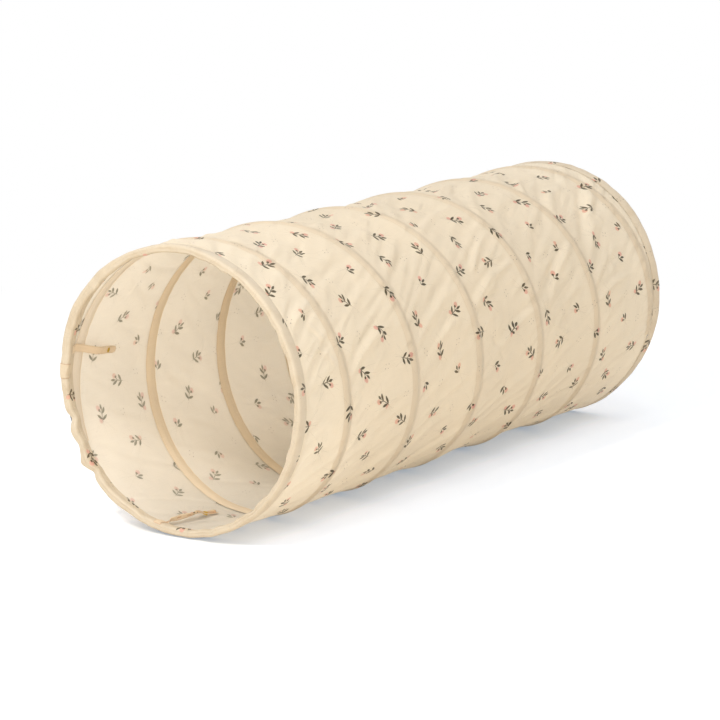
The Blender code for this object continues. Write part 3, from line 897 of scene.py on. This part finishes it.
def print_group(petal):
    """The scattered sprigs and dots: one in each cell of a chequered grid."""
    net, given, out = group("sprigs", [("Cloth", VECTOR)], ["Leaves", "Buds", "Dots", "Chance"])
    x, y, _ = net.split(given[0])
    x, y = x * 1000.0 / CELL, y * 1000.0 / CELL
    column, row = net.math("FLOOR", x), net.math("FLOOR", y)
    around = net.math("FLOORED_MODULO", column, float(CELLS_AROUND))
    cell = net.join(around + 0.5, row + 0.5, 0.0)

    def chances(place):
        """Four random numbers for a cell."""
        node = net.add("TexWhiteNoise", {"Vector": place}, noise_dimensions="2D")
        parts = net.add("SeparateColor", [node.outputs["Color"]])
        return Number(net, node.outputs["Value"]), *net.numbers(parts)

    def from_middle(value, start, chance):
        return (value - start - 0.5) * CELL - (chance - 0.5) * SCATTER

    def draw(shapes, shown=None):
        total = 0.0
        for px, py, turn, half_long, half_wide, point in shapes:
            shape = (px, py, 0), -math.radians(turn), half_long, half_wide, point
            total = net.math("MAXIMUM", net.use(petal, place, *shape)[0], total)
        return total if shown is None else total * shown

    filled, shift_x, shift_y, leaning = chances(cell)
    tone, over, mirrored, size = chances(net.vector("ADD", cell, (37.0, 11.0, 0.0)))
    odd = net.math("FLOORED_MODULO", around + row, 2.0)
    place = net.join(from_middle(x, column, shift_x), from_middle(y, row, shift_y), 0.0)
    # most sprigs lean one way, and some are turned over
    lean = (leaning - 0.5) * 2.2 + 0.5 + (over > 0.62) * math.pi
    x, y, _ = net.split(net.turn(place, lean))
    place = net.join(x * ((mirrored > 0.5) * 2.0 - 1.0), y, 0.0)
    full = 1.0 - (size > 0.72)
    even = 1.0 - odd
    leaves = net.math(
        "MAXIMUM", draw(STEM[:1] + LOWER_LEAVES, full), draw(STEM[1:] + UPPER_LEAVES + CALYX)
    )
    buds = net.math("MAXIMUM", draw(BUDS), draw(SECOND_BUD, full * (filled > 0.55)))
    dots = draw(DOTS, odd * (filled > 0.3))
    net.fill(out, [leaves * even, buds * even, dots, tone])
    return net.tree


def weave_group():
    """The height of a plain weave, with threads that vary in thickness."""
    net, given, out = group("weave", [("Cloth", VECTOR), ("Threads", FLOAT)], ["Height"])
    x, y, _ = net.split(given[0])
    waves, slubs = [], []
    for value, stretch in ((x, (900.0, 26.0, 1.0)), (y, (26.0, 900.0, 1.0))):
        waves.append(net.math("SINE", value * given[1]))
        slubs.append(net.noise(net.vector("MULTIPLY", given[0], stretch), 1.0, 1.0))
    net.fill(out, [waves[0] * waves[1] * 0.35 + (slubs[0] + slubs[1])])
    return net.tree


STREAK_SLANT = math.radians(30)
STREAK_HEIGHT = 0.0034


def streaks_group():
    """The height of the fine slanting pulls in the cloth, strongest on the upper right."""
    net, given, out = group("streaks", [("Cloth", VECTOR)], ["Height"])
    cloth = given[0]
    x, y, _ = net.split(cloth)
    sine, cosine = math.sin(STREAK_SLANT), math.cos(STREAK_SLANT)
    run = y * cosine - x * sine
    off = x * cosine + y * sine + net.noise(cloth, 5.0, 0.0) * 0.03
    lines = net.noise(net.join(off * 54.0, run * 7.0, 0.0), 1.0, 0.0)
    patches = net.smooth(net.noise(cloth, 11.0, 1.0), 0.38, 0.58)
    turned = net.math("COSINE", x / OUTER_RADIUS + math.radians(42))
    share = (turned * 0.42 + 0.58) * (patches * 0.8 + 0.2)
    net.fill(out, [net.smooth(lines, 0.22, 0.78) * share])
    return net.tree


# Materials

THREAD = linear(228, 208, 174)
STITCH_LENGTH = 0.0034
LEAF_GREEN = linear(48, 42, 12)
LEAF_OLIVE = linear(80, 64, 24)
LEAF_SHOW_THROUGH = linear(152, 148, 122)
LEAF_SHADOW = (0.34, 0.31, 0.21, 1)
BUD_PINK = linear(231, 172, 158)
BUD_PEACH = linear(234, 182, 154)
DOT_GREY = linear(128, 110, 96)
CREAM = linear(247, 235, 213)
CREAM_INSIDE = linear(252, 246, 235)
# painted shade: the hem's cream is darker than the cloth's because its roll is lit less
SHADED_HEM_CREAM = linear(229, 213, 187)
STRAP_CREAM = linear(252, 232, 202)
TAPE_BEIGE = linear(254, 238, 211)
PATCH_CREAM = linear(228, 210, 182)
SPRIGS = print_group(petal_group())
WEAVE = weave_group()
STREAKS = streaks_group()


def new_material(name):
    made = bpy.data.materials.new(name)
    made.use_nodes = True
    return made, Net(made.node_tree), made.node_tree.nodes["Principled BSDF"]


def cloth_material(
    name, base, shown, light, stitched=True, threads=0.00085, tape=0.0, blotches=0.0,
    streaks=0.0, edge_shade=0.0, paled=0.0, passing=(1.0, 0.975, 0.93, 1),
):
    """Printed or plain woven cloth.

    shown is how strong the print is, light how much light comes through, threads how far apart
    they lie, tape how much painted shade a casing tape behind it casts, blotches how uneven its
    colour is, streaks how strong its fine pulls are, edge_shade how much painted shade darkens
    its edges, paled how much paler it is beside the front hem, and passing the colour of the
    light that comes through.
    """
    made, net, shader = new_material(name)
    made.diffuse_color = base
    cloth = net.add("UVMap", uv_map="Cloth").outputs[0]
    run, off, _ = net.split(net.add("UVMap", uv_map="Seam").outputs[0])
    broad = net.smooth(net.noise(cloth, 7.0, 3.0), 0.25, 0.75)
    colour = net.mix(broad, toned(base, 0.97), toned(base, 1.015))
    if blotches:
        spots = net.smooth(net.noise(cloth, 34.0, 3.0, 0.6), 0.42, 0.72)
        colour = net.mix(spots * blotches, colour, toned(base, 0.80, 0.72, 0.60))
    height = net.use(WEAVE, cloth, 2 * math.pi / threads)[0]
    fine = net.smooth(height, 0.55, 1.45)
    dark = net.add("HueSaturation", {"Value": 0.94, "Color": colour}).outputs[0]
    colour = net.mix(fine, dark, colour)
    if tape:
        # painted shade of the casing tape behind the cloth, mostly on the wire's front side
        over = net.smooth(abs(off + 0.0032), 0.0088, 0.0044)
        colour = net.mix(over * tape, colour, toned(base, 0.92, 0.84, 0.72))
    if shown:
        leaves, buds, dots, chance = net.use(SPRIGS, cloth)
        strength = (fine * 0.14 + 0.86) * shown
        faint = shown < 0.8
        bud = net.mix(chance, BUD_PINK, BUD_PEACH)
        colour = net.mix(buds * (strength * (0.6 if faint else 1.0)), colour, bud)
        leaf = LEAF_SHOW_THROUGH if faint else net.mix(chance, LEAF_GREEN, LEAF_OLIVE)
        leaf_share = leaves * strength
        colour = net.mix(leaf_share, colour, leaf)
        colour = net.mix(dots * (strength * 0.8), colour, DOT_GREY)
        passing = net.mix(leaf_share, passing, LEAF_SHADOW)
    if paled:
        by_hem = net.smooth(net.split(cloth)[1], 0.12, 0.06)
        colour = net.mix(by_hem * paled, colour, CREAM_INSIDE)
    # painted shade along the edges, in a crumpled strap's fold and at the patch's rim
    if edge_shade:
        edge = net.smooth(abs(off), 0.0114, 0.0125)
        colour = net.mix(edge * edge_shade, colour, toned(base, 0.62, 0.40, 0.24))
    if stitched:
        beside = abs(abs(off) - STITCH_ROW)
        dash = abs(net.math("FRACT", run / STITCH_LENGTH) - 0.5)
        thread = net.smooth(beside, 0.00055, 0.00025) * net.smooth(dash, 0.40, 0.33)
        # the dip beside each row of stitches: sunk in the bump, and faintly darkened with painted
        # shade
        gap = net.smooth(beside, 0.0012, 0.0004)
        colour = net.mix(gap * 0.05, colour, toned(base, 0.45))
        colour = net.mix(thread, colour, THREAD)
        height = height + thread * 1.6 - gap * 0.8
    pulled = None
    if streaks:
        pulled = net.bump(net.use(STREAKS, cloth)[0], 1.0, STREAK_HEIGHT * streaks)
    bumped = net.bump(height, 0.35, 0.00018, pulled)
    net.fill(shader, {
        "Base Color": colour,
        "Normal": bumped,
        "Roughness": fine * -0.08 + 0.50,
        "Specular IOR Level": 0.5,
        "Sheen Weight": 0.05,
        "Sheen Roughness": 0.5,
    })
    # light takes less colour on its way through than where it is thrown back
    passed = net.mix(0.5, colour, passing)
    through = net.add("BsdfTranslucent", {"Color": passed, "Normal": bumped})
    mixed = net.mix_shaders(light, shader, through)
    net.fill(net.tree.nodes["Material Output"], {"Surface": mixed.outputs[0]})
    return made


def metal_material(name, base, roughness, scratch):
    made, net, shader = new_material(name)
    made.diffuse_color = base
    place = net.add("TexCoord").outputs["Object"]
    spots = net.smooth(net.noise(place, 900.0, 4.0, 0.6), 0.35, 0.7)
    fine = net.noise(place, scratch, 2.0, 0.7)
    net.fill(shader, {
        "Base Color": net.mix(spots, base, toned(base, 0.72)),
        "Roughness": fine * 0.16 + roughness,
        "Normal": net.bump(fine, 0.2, 0.00005),
        "Metallic": 1.0,
    })
    return made


# its tape band is painted shade of the casing tapes behind it
CLOTH_OUTSIDE = cloth_material("printed_cloth_outside", CREAM, 1.0, 0.52, tape=0.30, streaks=1.0)
CLOTH_INSIDE = cloth_material(
    "printed_cloth_inside", CREAM_INSIDE, 0.66, 0.52, stitched=False, streaks=0.5
)
# the hem's darker cream is painted shade
CLOTH_HEM = cloth_material("printed_cloth_hem", SHADED_HEM_CREAM, 0.95, 0.20, blotches=0.35)
CLOTH_STRAP = cloth_material("printed_cloth_strap", STRAP_CREAM, 0.9, 0.35)
# its brown edges are painted shade of its fold
CLOTH_FOLDED = cloth_material(
    "printed_cloth_folded", STRAP_CREAM, 0.9, 0.35, blotches=0.2, edge_shade=0.75
)
TAPE_CLOTH = cloth_material(
    "casing_tape_cloth", TAPE_BEIGE, 0, 0.28, threads=0.0012, paled=0.6,
    passing=(0.95, 0.80, 0.62, 1),
)
# its dark edges are painted shade
PATCH_CLOTH = cloth_material("bare_patch_cloth", PATCH_CREAM, 0, 0.1, blotches=0.3, edge_shade=0.8)
WIRE_STEEL = metal_material("drawn_spring_steel", linear(150, 150, 154), 0.3, 2400.0)
BRASS = metal_material("satin_brass", linear(232, 200, 96), 0.38, 1500.0)


# The tunnel

add_hem("front_hem", "front_end", False)
add_hem("rear_hem", "rear_end", True)
add_wire()
add_panel(0, "front_gusset", -FACETS, 0)
add_panel(PANEL_COUNT + 1, "rear_gusset", LAST_PANEL_STEP, SPIRAL_STEPS)
for panel in range(1, PANEL_COUNT + 1):
    add_panel(panel, f"cloth_panel_{panel}", (panel - 1) * FACETS, panel * FACETS)
for panel in range(1, PANEL_COUNT + 1):
    add_tape(panel, (panel - 1) * FACETS, panel * FACETS)
add_tape(PANEL_COUNT + 1, LAST_PANEL_STEP, SPIRAL_STEPS)
for side in STRAP_FACETS:
    add_strap(side)
    add_strap_end(side)
add_patch()

metals = {f"{side}_{part}": BRASS for side in STRAP_FACETS for part in ("strap_snap", "hem_stud")}
metals.update({f"{end}_wire_sleeve": WIRE_STEEL for end in ("front", "rear")})
for node, metal in metals.items():
    for material_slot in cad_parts[node].material_slots:
        material_slot.material = metal


# Camera, floor and light

def add_camera():
    """Placed by a fit to both rims and to the spiral seams in the photograph."""
    azimuth, elevation = 0.581974, 0.198620
    distance, aside, above = 5.537481, -0.034364, -0.046054
    focal_px, frame_px, sensor = 3134.08, 720, 36.0
    level = math.cos(elevation)
    aim = math.sin(azimuth) * level, -math.cos(azimuth) * level, math.sin(elevation)
    back = Vector(aim)
    right = Vector((0, 0, 1)).cross(back).normalized()
    up = back.cross(right)
    data = bpy.data.cameras.new("camera")
    data.sensor_width = sensor
    data.lens = sensor * focal_px / frame_px
    data.clip_end = 200
    camera = link("camera", data)
    middle = Vector((0, 0, OUTER_RADIUS))
    place = Matrix((right, up, back)).transposed().to_4x4()
    place.translation = middle + back * distance + right * aside + up * above
    camera.matrix_world = place
    bpy.context.scene.camera = camera


def seen_share(net):
    """1 for what the camera sees itself, in a mirror or through glass."""
    path = net.add("LightPath").outputs
    seen = net.math("MAXIMUM", path["Is Camera Ray"], path["Is Glossy Ray"])
    return net.math("MAXIMUM", seen, path["Is Transmission Ray"])


def add_floor():
    """A pale floor. What the camera sees of it is toned so that its shadows are grey."""
    data = bpy.data.meshes.new("floor")
    ends = -FLOOR_REACH, FLOOR_REACH
    corners = [(x, y, 0) for x in ends for y in ends]
    data.from_pydata(corners, [], [(0, 2, 3, 1)])
    floor = link("floor", data)
    floor.location.z = -FLOOR_DROP
    made, net, shader = new_material("pale_floor")
    net.fill(shader, {"Base Color": FLOOR_BASE, "Roughness": 0.9, "Specular IOR Level": 0.1})
    lift = net.add("Emission", {"Color": FLOOR_LIFT})
    plain = net.add("Emission", {"Color": (1, 1, 1, 1)})
    # painted shade: a soft dark line, from ambient occlusion, where the cloth meets the floor
    open_share = net.add("AmbientOcclusion", {"Distance": CONTACT_REACH}, samples=8)
    open_share = open_share.outputs["AO"]
    colour = net.mix(net.smooth(open_share, 0.0, 1.0), CONTACT_SHADE_SEEN, FLOOR_SEEN)
    shaded = net.add("BsdfDiffuse", {"Color": colour, "Roughness": 1.0})
    lifted = net.add("AddShader", [shaded.outputs[0], lift.outputs[0]])
    # far from the tunnel the floor is plain white
    place = net.add("TexCoord").outputs["Object"]
    reach = net.add("VectorMath", [place], operation="LENGTH").outputs["Value"]
    drawn = net.mix_shaders(net.smooth(reach, 0.9, 2.0), lifted, plain)
    seen = net.mix_shaders(seen_share(net), shader, drawn)
    net.fill(net.tree.nodes["Material Output"], {"Surface": seen.outputs[0]})
    data.materials.append(made)


def add_world():
    world = bpy.data.worlds.new("studio")
    bpy.context.scene.world = world
    world.use_nodes = True
    net = Net(world.node_tree)
    soft = world.node_tree.nodes["Background"]
    net.fill(soft, {"Color": (1, 1, 1, 1), "Strength": WORLD_LIGHT})
    white = net.add("Background", {"Color": (1, 1, 1, 1)})
    mixed = net.mix_shaders(seen_share(net), soft, white)
    net.fill(net.tree.nodes["World Output"], {"Surface": mixed.outputs[0]})


def add_lamp(name, place, size, power, target=(0, 0, 0.2)):
    data = bpy.data.lights.new(name, "AREA")
    data.shape = "DISK"
    data.size = size
    data.energy = power
    lamp = link(name, data)
    lamp.location = place
    lamp.rotation_mode = "QUATERNION"
    lamp.rotation_quaternion = (Vector(place) - Vector(target)).to_track_quat("Z", "Y")


FLOOR_REACH = 40
FLOOR_DROP = 0.0015  # below the CAD's lowest point
FLOOR_BASE = (0.98, 0.90, 0.78, 1)
FLOOR_LIFT = (0.105, 0.188, 0.29, 1)
FLOOR_SEEN = (0.93, 0.888, 0.84, 1)
CONTACT_REACH = 0.05
# the colour of the painted contact shade on the floor
CONTACT_SHADE_SEEN = (0.69, 0.62, 0.49, 1)
WORLD_LIGHT = 0.78
add_camera()
add_floor()
add_world()
add_lamp("key", (-2.6, 0.4, 3.6), 0.9, 16)
add_lamp("side", (3.4, -4.0, 1.1), 1.4, 54)
add_lamp("top", (1.2, -0.8, 4.0), 0.7, 11)
add_lamp("front", (-0.3, -3.0, 3.3), 0.8, 68, (0, -0.5, 0.1))
bpy.context.scene.view_settings.view_transform = "Standard"
